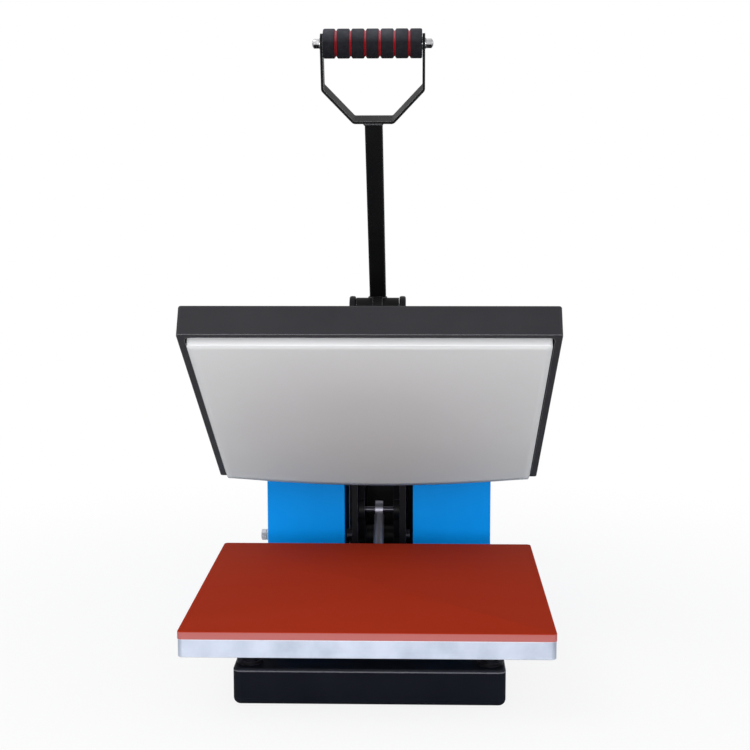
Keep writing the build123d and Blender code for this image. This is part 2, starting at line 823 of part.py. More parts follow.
def panel_place(x):
    """Local frame on the sloping face: Z stands off the face, Y runs up it."""
    return Pos(x, panel_mid[0], panel_mid[1]) * Rot(X=slope_angle)


def make_boxes():
    inner_x = box_gap / 2
    outer = side_plate(box_profile(0), inner_x, box_width)
    outer = fillet(outer.edges().filter_by(Axis.Z).group_by(Axis.Y)[0], box_edge_round)
    inner = side_plate(box_profile(-box_wall), inner_x + box_wall, box_width - 2 * box_wall)
    back_mouth_height = box_height - 2 * box_wall
    mouth = Pos(box_mid_x, box_back_y, deck_z + box_height / 2) * Box(
        box_width - 2 * box_wall, 4 * box_wall, back_mouth_height
    )
    shell = outer - inner - mouth
    right, left = both_sides(shell)
    save("box_right", right)
    save("box_left", left - rod_x(hinge, shaft_radius, -base_width, 0))
    cover = Pos(box_mid_x, box_back_y + back_cover_thickness / 2, deck_z + box_height / 2) * Box(
        box_width, back_cover_thickness, box_height - 2 * back_cover_inset
    )
    vent_top = deck_z + box_height - vent_inset
    for i in range(vent_count):
        cover -= Pos(box_mid_x, box_back_y, vent_top - i * vent_pitch) * Box(
            vent_length, 4 * back_cover_thickness, vent_height
        )
    right_cover, left_cover = both_sides(cover)
    save("back_cover_right", right_cover)
    save("back_cover_left", left_cover)
    screws = []
    screw_y = box_back_y + back_cover_thickness
    for x in (screw_inset - box_width / 2, box_width / 2 - screw_inset):
        for z in (screw_end_inset - box_height / 2, box_height / 2 - screw_end_inset):
            place = Pos(box_mid_x + x, screw_y, deck_z + box_height / 2 + z) * Rot(X=-90)
            screws.extend(both_sides(place * round_screw(screw_radius, screw_height)))
    save("box_screws", group(screws))


def make_controller():
    """Control panel with a screen and four keys on the right box."""
    place = panel_place(box_mid_x)
    bezel = extrude(RectangleRounded(panel_width, panel_height, panel_corner), amount=panel_thickness)
    bezel = chamfer(bezel.faces().sort_by(Axis.Z)[-1].edges(), panel_chamfer)
    screen_y = panel_height / 2 - screen_height / 2 - screen_drop
    window = extrude(Rectangle(screen_width, screen_height), amount=panel_thickness)
    bezel -= Pos(0, screen_y, panel_bed) * window
    button_y = button_lift - panel_height / 2
    key_z = button_travel + touch_gap
    names = ["key_set", "key_down", "key_up", "key_start"]
    for i in range(button_count):
        x = (i - (button_count - 1) / 2) * button_pitch
        bezel -= Pos(x, button_y, 0) * Cylinder(button_radius + touch_gap, 4 * panel_thickness)
        key = extrude(Circle(button_radius), amount=panel_thickness + button_proud - key_z)
        key = chamfer(key.faces().sort_by(Axis.Z)[-1].edges(), button_chamfer)
        save(names[i], place * Pos(x, button_y, key_z) * key)
    save("control_bezel", place * bezel)
    glass_height = panel_thickness - panel_bed - screen_recess
    glass = Pos(0, screen_y, panel_bed) * extrude(Rectangle(screen_width, screen_height), amount=glass_height)
    save("control_screen", place * glass)


def make_mains():
    """Rocker switch on the left box's slope; inlet and fuse on its back cover."""
    place = panel_place(-box_mid_x)
    frame = extrude(RectangleRounded(switch_width, switch_height, switch_corner), amount=switch_frame)
    opening = Rectangle(rocker_width + 2 * rocker_side_gap, rocker_length + 2 * rocker_end_gap)
    frame -= extrude(opening, amount=2 * switch_frame, both=True)
    save("switch_frame", place * frame)
    pivot_z = switch_frame * 0.55
    half = rocker_length / 2
    tip = rocker_crest + rocker_rise
    foot = half - rocker_taper
    outline = polygon(
        [(-half, tip), (0, rocker_crest), (half, tip), (foot, -rocker_skirt), (-foot, -rocker_skirt)]
    )
    rocker = extrude(Plane.YZ.offset(-rocker_width / 2) * outline, amount=rocker_width)
    save("rocker_key", place * Pos(0, 0, pivot_z) * Rot(X=-rocker_tilt) * rocker)
    back = box_back_y + back_cover_thickness
    inlet_place = Pos(-box_mid_x, back, deck_z + inlet_above)
    seated = (Align.CENTER, Align.MIN, Align.CENTER)
    flange_width = inlet_width + 2 * inlet_flange_side
    inlet = Box(flange_width, inlet_flange, inlet_height + 2 * inlet_flange_end, align=seated)
    hood = Box(inlet_width, inlet_flange + inlet_hood, inlet_height, align=seated)
    inlet += fillet(hood.edges().filter_by(Axis.Y), inlet_round)
    inlet -= Pos(0, inlet_floor, 0) * Box(
        inlet_width - 2 * inlet_wall, inlet_flange + inlet_hood, inlet_height - 2 * inlet_wall, align=seated
    )
    save("power_inlet", inlet_place * inlet)
    fuse_place = Pos(-box_mid_x, back, deck_z + fuse_above) * Rot(X=-90)
    fuse = extrude(Circle(fuse_nut_radius), amount=fuse_nut_height)
    fuse += extrude(Circle(fuse_cap_radius), amount=fuse_cap_height)
    fuse -= Pos(0, 0, fuse_cap_height) * Box(2 * fuse_cap_radius, fuse_slot_width, 2 * fuse_slot_depth)
    save("fuse_holder", fuse_place * fuse)


make_base()
make_bed()
make_towers()
make_hinge_shaft()
make_arm()
make_platen()
make_pressure_screw()
make_lever()
make_grip()
make_links()
make_strut()
make_boxes()
make_controller()
make_mains()

print("hinge", hinge)
print("lever pivot", lever_pivot, "swing", lever_swing)
print("crank", crank_open, "link swing", link_swing)
print("heel", heel_open, "link length", link_length)
print("strut foot", strut_foot, "swing", strut_swing)
print("strut angle", math.degrees(strut_open_angle), "stroke", strut_closed_length - strut_open_length)
print("grip axis", grip_axis, "handle foot", handle_foot)
print("panel middle", panel_mid, "slope", slope_angle)
print("press travel", press_travel)
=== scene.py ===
import json
import math

import bmesh
import bpy
from mathutils import Matrix, Vector, noise


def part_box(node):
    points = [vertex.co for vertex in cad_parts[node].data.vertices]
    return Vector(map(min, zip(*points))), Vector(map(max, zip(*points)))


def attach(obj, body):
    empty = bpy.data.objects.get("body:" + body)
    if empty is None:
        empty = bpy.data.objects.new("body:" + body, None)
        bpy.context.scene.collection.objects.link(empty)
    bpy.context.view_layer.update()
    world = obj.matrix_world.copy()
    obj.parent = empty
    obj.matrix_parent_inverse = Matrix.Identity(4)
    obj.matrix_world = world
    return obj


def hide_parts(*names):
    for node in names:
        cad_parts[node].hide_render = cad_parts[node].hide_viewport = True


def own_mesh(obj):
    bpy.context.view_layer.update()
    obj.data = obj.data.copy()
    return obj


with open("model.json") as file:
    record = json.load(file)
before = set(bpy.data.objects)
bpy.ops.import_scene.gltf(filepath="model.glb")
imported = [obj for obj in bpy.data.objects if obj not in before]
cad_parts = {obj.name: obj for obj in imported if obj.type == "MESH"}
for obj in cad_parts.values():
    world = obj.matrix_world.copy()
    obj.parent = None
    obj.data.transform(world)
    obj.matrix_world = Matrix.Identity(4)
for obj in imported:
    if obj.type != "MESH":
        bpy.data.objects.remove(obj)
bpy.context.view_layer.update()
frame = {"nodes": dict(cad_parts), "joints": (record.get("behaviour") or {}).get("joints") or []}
nodes = frame["nodes"]
joints = {joint["name"]: joint for joint in frame["joints"]}
mm = 0.001


# Where things are, read from the frame

def middle(node):
    low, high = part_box(node)
    return (Vector(low) + Vector(high)) / 2


def unit(vector):
    return Vector(vector).normalized()


leverPivot = Vector(joints["lever_swing"]["pos_m"])
gripAxis = Vector(joints["grip_spin"]["pos_m"])
plateDown = unit(joints["platen_slide"]["axis"])
padLow, padHigh = (Vector(corner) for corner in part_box("silicone_pad"))
padMiddle = (padLow + padHigh) / 2
openAngle = math.atan2(-plateDown.y, -plateDown.z)
print("frame read")


# Camera at the photograph's angle, and the light

cameraLook = {
    "lens": 73.06,
    "sensor": 36.0,
    "fromPad": (0.053, -1.66, 0.4451),
    "pitch": 7.211,
    "yaw": 1.70,
    "roll": 0.09,
}

studioLook = {
    "ambient": 0.6,
    "ambientColour": (0.95, 0.97, 1.0, 1.0),
    "seenColour": (1.0, 1.0, 1.0, 1.0),
    "aimLift": 0.2,
    "keyPlace": (-1.5, -2.0, 2.6),
    "keySize": 1.8,
    "keyPower": 34.0,
    "fillPlace": (2.2, -1.6, 1.4),
    "fillSize": 1.6,
    "fillPower": 12.0,
    "frontPlace": (-0.2, -3.0, 0.12),
    "frontSize": 1.6,
    "frontPower": 60.0,
    "floorSize": 14.0,
    "floorColour": (0.86, 0.86, 0.86, 1.0),
    "floorRoughness": 0.9,
    "floorSpecular": 0.1,
    "floorWhite": (0.86, 1.0),
    "floorFade": (0.35, 1.1),
}


def makeCamera():
    data = bpy.data.cameras.new("photoCamera")
    data.lens = cameraLook["lens"]
    data.sensor_width = cameraLook["sensor"]
    camera = bpy.data.objects.new("photoCamera", data)
    padTop = Vector((padMiddle.x, padMiddle.y, padHigh.z))
    camera.location = padTop + Vector(cameraLook["fromPad"])
    camera.rotation_euler = (
        math.radians(90 - cameraLook["pitch"]),
        math.radians(cameraLook["roll"]),
        math.radians(cameraLook["yaw"]),
    )
    bpy.context.collection.objects.link(camera)
    bpy.context.scene.camera = camera


def softBox(name, place, size, power):
    data = bpy.data.lights.new(name, "AREA")
    data.shape = "SQUARE"
    data.size = size
    data.energy = power
    lamp = bpy.data.objects.new(name, data)
    lamp.location = place
    aim = padMiddle + Vector((0, 0, studioLook["aimLift"])) - lamp.location
    lamp.rotation_euler = aim.to_track_quat("-Z", "Y").to_euler()
    bpy.context.collection.objects.link(lamp)


def makeWorld():
    world = bpy.data.worlds.new("studio")
    bpy.context.scene.world = world
    world.use_nodes = True
    tree = world.node_tree
    tree.nodes.clear()
    soft = tree.nodes.new("ShaderNodeBackground")
    soft.inputs["Color"].default_value = studioLook["ambientColour"]
    soft.inputs["Strength"].default_value = studioLook["ambient"]
    white = tree.nodes.new("ShaderNodeBackground")
    white.inputs["Color"].default_value = studioLook["seenColour"]
    path = tree.nodes.new("ShaderNodeLightPath")
    seen = path.outputs["Is Camera Ray"]
    for label in ("Is Glossy Ray", "Is Transmission Ray"):
        anyRay = tree.nodes.new("ShaderNodeMath")
        anyRay.operation = "MAXIMUM"
        tree.links.new(seen, anyRay.inputs[0])
        tree.links.new(path.outputs[label], anyRay.inputs[1])
        seen = anyRay.outputs[0]
    mixRays = tree.nodes.new("ShaderNodeMixShader")
    out = tree.nodes.new("ShaderNodeOutputWorld")
    tree.links.new(seen, mixRays.inputs["Fac"])
    tree.links.new(soft.outputs[0], mixRays.inputs[1])
    tree.links.new(white.outputs[0], mixRays.inputs[2])
    tree.links.new(mixRays.outputs[0], out.inputs["Surface"])


def makeFloor():
    half = studioLook["floorSize"] / 2
    mesh = bpy.data.meshes.new("floor")
    corners = [(-half, -half, 0), (half, -half, 0), (half, half, 0), (-half, half, 0)]
    mesh.from_pydata(corners, [], [(0, 1, 2, 3)])
    floor = bpy.data.objects.new("floor", mesh)
    bpy.context.collection.objects.link(floor)
    material = bpy.data.materials.new("paleFloor")
    material.use_nodes = True
    tree = material.node_tree
    plain = tree.nodes["Principled BSDF"]
    plain.inputs["Base Color"].default_value = studioLook["floorColour"]
    plain.inputs["Roughness"].default_value = studioLook["floorRoughness"]
    plain.inputs["Specular IOR Level"].default_value = studioLook["floorSpecular"]
    glow = tree.nodes.new("ShaderNodeEmission")
    path = tree.nodes.new("ShaderNodeLightPath")
    geometry = tree.nodes.new("ShaderNodeNewGeometry")
    reach = tree.nodes.new("ShaderNodeVectorMath")
    reach.operation = "LENGTH"
    tree.links.new(geometry.outputs["Position"], reach.inputs[0])
    fade = tree.nodes.new("ShaderNodeMapRange")
    fade.interpolation_type = "SMOOTHSTEP"
    fade.inputs["From Min"].default_value, fade.inputs["From Max"].default_value = studioLook["floorFade"]
    fade.inputs["To Min"].default_value, fade.inputs["To Max"].default_value = studioLook["floorWhite"]
    tree.links.new(reach.outputs["Value"], fade.inputs["Value"])
    share = tree.nodes.new("ShaderNodeMath")
    share.operation = "MULTIPLY"
    tree.links.new(fade.outputs["Result"], share.inputs[1])
    mixRays = tree.nodes.new("ShaderNodeMixShader")
    tree.links.new(path.outputs["Is Camera Ray"], share.inputs[0])
    tree.links.new(share.outputs[0], mixRays.inputs["Fac"])
    tree.links.new(plain.outputs[0], mixRays.inputs[1])
    tree.links.new(glow.outputs[0], mixRays.inputs[2])
    tree.links.new(mixRays.outputs[0], tree.nodes["Material Output"].inputs["Surface"])
    mesh.materials.append(material)


makeCamera()
makeWorld()
makeFloor()
for lamp in ("key", "fill", "front"):
    softBox(lamp + "Light", studioLook[lamp + "Place"], studioLook[lamp + "Size"], studioLook[lamp + "Power"])
bpy.context.scene.view_settings.view_transform = "Standard"
print("camera, light and floor ready")


# Shared surface effects as node groups

effectLook = {
    "mottleDetail": 6.0,
    "grainDetail": 3.0,
    "waveDetail": 2.0,
    "waveShare": 0.8,
    "bevelSamples": 4,
    "bendGain": 6.0,
    "breakGain": 5.0,
    "dustAndTopLightDetail": 8.0,
    "lineDetail": 3.0,
    "sideSheenGain": 1.6,
}


def newGroup(name, inputs, outputs):
    group = bpy.data.node_groups.new(name, "ShaderNodeTree")
    for label, value in inputs:
        socket = group.interface.new_socket(name=label, in_out="INPUT", socket_type="NodeSocketFloat")
        socket.default_value = value
    for label in outputs:
        group.interface.new_socket(name=label, in_out="OUTPUT", socket_type="NodeSocketFloat")
    return group, group.nodes.new("NodeGroupInput"), group.nodes.new("NodeGroupOutput")


def mathNode(tree, operation, first=None, second=None, clamp=False):
    node = tree.nodes.new("ShaderNodeMath")
    node.operation = operation
    node.use_clamp = clamp
    for index, value in enumerate((first, second)):
        if value is None:
            continue
        if isinstance(value, (int, float)):
            node.inputs[index].default_value = value
        else:
            tree.links.new(value, node.inputs[index])
    return node.outputs[0]


def noiseNode(tree, scale, detail=4.0, vector=None):
    node = tree.nodes.new("ShaderNodeTexNoise")
    node.inputs["Detail"].default_value = detail
    if isinstance(scale, (int, float)):
        node.inputs["Scale"].default_value = scale
    else:
        tree.links.new(scale, node.inputs["Scale"])
    if vector is None:
        vector = tree.nodes.new("ShaderNodeTexCoord").outputs["Object"]
    tree.links.new(vector, node.inputs["Vector"])
    return node.outputs["Fac"]


def makeMottle():
    group, inside, outside = newGroup("mottle", [("Scale", 20.0), ("Contrast", 2.0)], ["Mask"])
    fac = noiseNode(group, inside.outputs["Scale"], effectLook["mottleDetail"])
    spread = mathNode(group, "MULTIPLY", mathNode(group, "SUBTRACT", fac, 0.5), inside.outputs["Contrast"])
    group.links.new(mathNode(group, "ADD", spread, 0.5, clamp=True), outside.inputs["Mask"])
    return group


def makeGrain():
    group, inside, outside = newGroup("fineGrain", [("Scale", 900.0), ("Waves", 60.0)], ["Height"])
    fine = noiseNode(group, inside.outputs["Scale"], effectLook["grainDetail"])
    wide = noiseNode(group, inside.outputs["Waves"], effectLook["waveDetail"])
    swell = mathNode(group, "MULTIPLY", wide, effectLook["waveShare"])
    group.links.new(mathNode(group, "ADD", fine, swell), outside.inputs["Height"])
    return group


# Edge mask from the bevel normal, broken by noise: wear on some finishes, and on others a painted highlight
# line along the edges (a painted dark reflection on the chrome nuts).
def makeWearAndEdgeLight():
    values = [("Radius", 0.001), ("Amount", 1.0), ("Scale", 120.0), ("Breaks", 0.42)]
    group, inside, outside = newGroup("edgeWearAndLight", values, ["Mask"])
    soft = group.nodes.new("ShaderNodeBevel")
    soft.samples = effectLook["bevelSamples"]
    group.links.new(inside.outputs["Radius"], soft.inputs["Radius"])
    geometry = group.nodes.new("ShaderNodeNewGeometry")
    dot = group.nodes.new("ShaderNodeVectorMath")
    dot.operation = "DOT_PRODUCT"
    group.links.new(soft.outputs["Normal"], dot.inputs[0])
    group.links.new(geometry.outputs["Normal"], dot.inputs[1])
    parted = mathNode(group, "SUBTRACT", 1.0, dot.outputs["Value"])
    bend = mathNode(group, "MULTIPLY", parted, effectLook["bendGain"], clamp=True)
    scatter = mathNode(group, "SUBTRACT", noiseNode(group, inside.outputs["Scale"]), inside.outputs["Breaks"])
    broken = mathNode(group, "MULTIPLY", scatter, effectLook["breakGain"], clamp=True)
    brokenEdge = mathNode(group, "MULTIPLY", bend, broken)
    mask = mathNode(group, "MULTIPLY", brokenEdge, inside.outputs["Amount"], clamp=True)
    group.links.new(mask, outside.inputs["Mask"])
    return group


# Mask on upward faces, patchy by noise: light settled dust on most finishes; on the foam grip and its red
# rings it paints the tops lighter, a painted highlight from above.
def makeDustAndTopLight():
    group, inside, outside = newGroup("settledDustAndTopLight", [("Amount", 0.3), ("Scale", 40.0)], ["Mask"])
    geometry = group.nodes.new("ShaderNodeNewGeometry")
    split = group.nodes.new("ShaderNodeSeparateXYZ")
    group.links.new(geometry.outputs["Normal"], split.inputs[0])
    upward = mathNode(group, "MULTIPLY", split.outputs["Z"], 1.0, clamp=True)
    patchNoise = noiseNode(group, inside.outputs["Scale"], effectLook["dustAndTopLightDetail"])
    patch = mathNode(group, "MULTIPLY", patchNoise, upward)
    mask = mathNode(group, "MULTIPLY", patch, inside.outputs["Amount"], clamp=True)
    group.links.new(mask, outside.inputs["Mask"])
    return group


def makeBrushed():
    group, inside, outside = newGroup("machinedLines", [("Along", 4.0), ("Across", 1400.0)], ["Height"])
    place = group.nodes.new("ShaderNodeTexCoord")
    stretch = group.nodes.new("ShaderNodeCombineXYZ")
    group.links.new(inside.outputs["Along"], stretch.inputs["X"])
    group.links.new(inside.outputs["Across"], stretch.inputs["Y"])
    group.links.new(inside.outputs["Across"], stretch.inputs["Z"])
    scaled = group.nodes.new("ShaderNodeVectorMath")
    scaled.operation = "MULTIPLY"
    group.links.new(place.outputs["Object"], scaled.inputs[0])
    group.links.new(stretch.outputs[0], scaled.inputs[1])
    lines = noiseNode(group, 1.0, effectLook["lineDetail"], scaled.outputs[0])
    group.links.new(lines, outside.inputs["Height"])
    return group


def makeWeave():
    group, inside, outside = newGroup("glassWeave", [("Pitch", 0.0011)], ["Height"])
    place = group.nodes.new("ShaderNodeTexCoord")
    split = group.nodes.new("ShaderNodeSeparateXYZ")
    group.links.new(place.outputs["Object"], split.inputs[0])
    turn = mathNode(group, "DIVIDE", 2 * math.pi, inside.outputs["Pitch"])
    slopeLength = mathNode(group, "DIVIDE", split.outputs["Y"], math.cos(openAngle))
    acrossWave = mathNode(group, "SINE", mathNode(group, "MULTIPLY", split.outputs["X"], turn))
    alongWave = mathNode(group, "SINE", mathNode(group, "MULTIPLY", slopeLength, turn))
    group.links.new(mathNode(group, "MULTIPLY", acrossWave, alongWave), outside.inputs["Height"])
    return group


groups = {
    "mottle": makeMottle(),
    "grain": makeGrain(),
    "wearAndEdgeLight": makeWearAndEdgeLight(),
    "dustAndTopLight": makeDustAndTopLight(),
    "lines": makeBrushed(),
    "weave": makeWeave(),
}


def placeGroup(tree, name, **values):
    node = tree.nodes.new("ShaderNodeGroup")
    node.node_tree = groups[name]
    for label, value in values.items():
        node.inputs[label].default_value = value
    return node


def mixColours(tree, mask, first, second):
    node = tree.nodes.new("ShaderNodeMix")
    node.data_type = "RGBA"
    tree.links.new(mask, node.inputs[0])
    for socket, value in ((node.inputs[6], first), (node.inputs[7], second)):
        if isinstance(value, tuple):
            socket.default_value = (*value, 1.0)
        else:
            tree.links.new(value, socket)
    return node.outputs[2]


def makeFinish(name, look):
    material = bpy.data.materials.new(name)
    material.use_nodes = True
    tree = material.node_tree
    shader = tree.nodes["Principled BSDF"]
    shader.inputs["Metallic"].default_value = look.get("metallic", 0.0)
    shader.inputs["Specular IOR Level"].default_value = look.get("specular", 0.4)
    shader.inputs["IOR"].default_value = look.get("ior", 1.5)
    shader.inputs["Coat Weight"].default_value = look.get("coat", 0.0)
    shader.inputs["Coat Roughness"].default_value = look.get("coatRoughness", 0.1)
    mottle = placeGroup(tree, "mottle", Scale=look.get("patches", 18.0), Contrast=look.get("contrast", 2.0))
    colour = mixColours(tree, mottle.outputs["Mask"], look["colour"], look["second"])
    # Edge colour mixed in by the edge mask: painted highlight lines on the base, lever, cover and aluminium
    # edges, painted dark reflections on the chrome nuts, and a paler edge colour on arms, blue boxes and
    # welds.
    if "wearAndEdgeLight" in look:
        wearAndEdgeLight = placeGroup(
            tree, "wearAndEdgeLight", Radius=look.get("wearAndEdgeLightRadius", 0.0012), Amount=look["wearAndEdgeLight"],
            Breaks=look.get("wearAndEdgeLightBreaks", 0.42),
        )
        colour = mixColours(tree, wearAndEdgeLight.outputs["Mask"], colour, look["wearAndEdgeLightColour"])
    # Upward-facing colour: real dust on most finishes, a painted top highlight on the grip foam and rings.
    if "dustAndTopLight" in look:
        dustAndTopLight = placeGroup(tree, "dustAndTopLight", Amount=look["dustAndTopLight"], Scale=look.get("dustScale", 40.0))
        colour = mixColours(tree, dustAndTopLight.outputs["Mask"], colour, look.get("dustAndTopLightColour", (0.35, 0.33, 0.31)))
    # Faces that stand upright take a paler colour: a painted sheen on the silicone pad's sides.
    if "sideSheenColour" in look:
        geometry = tree.nodes.new("ShaderNodeNewGeometry")
        split = tree.nodes.new("ShaderNodeSeparateXYZ")
        tree.links.new(geometry.outputs["Normal"], split.inputs[0])
        flat = mathNode(tree, "ABSOLUTE", split.outputs["Z"])
        level = mathNode(tree, "MULTIPLY", flat, effectLook["sideSheenGain"])
        side = mathNode(tree, "SUBTRACT", 1.0, level, clamp=True)
        colour = mixColours(tree, side, colour, look["sideSheenColour"])
    if "bounce" in look:
        path = tree.nodes.new("ShaderNodeLightPath")
        colour = mixColours(tree, path.outputs["Is Diffuse Ray"], colour, look["bounce"])
    tree.links.new(colour, shader.inputs["Base Color"])
    low, high = look["roughness"]
    vary = tree.nodes.new("ShaderNodeMapRange")
    vary.inputs["To Min"].default_value = low
    vary.inputs["To Max"].default_value = high
    tree.links.new(mottle.outputs["Mask"], vary.inputs["Value"])
    tree.links.new(vary.outputs["Result"], shader.inputs["Roughness"])
    bump = tree.nodes.new("ShaderNodeBump")
    bump.inputs["Strength"].default_value = look.get("bump", 0.25)
    bump.inputs["Distance"].default_value = look.get("bumpDepth", 0.0003)
    relief = look.get("relief", "grain")
    if relief == "lines":
        source = placeGroup(tree, "lines", Along=look.get("along", 4.0), Across=look.get("across", 1400.0))
    elif relief == "weave":
        source = placeGroup(tree, "weave", Pitch=look.get("pitch", 0.0011))
    else:
        source = placeGroup(tree, "grain", Scale=look.get("grain", 900.0), Waves=look.get("waves", 60.0))
    tree.links.new(source.outputs["Height"], bump.inputs["Height"])
    tree.links.new(bump.outputs["Normal"], shader.inputs["Normal"])
    return material


# Finishes, named for this press

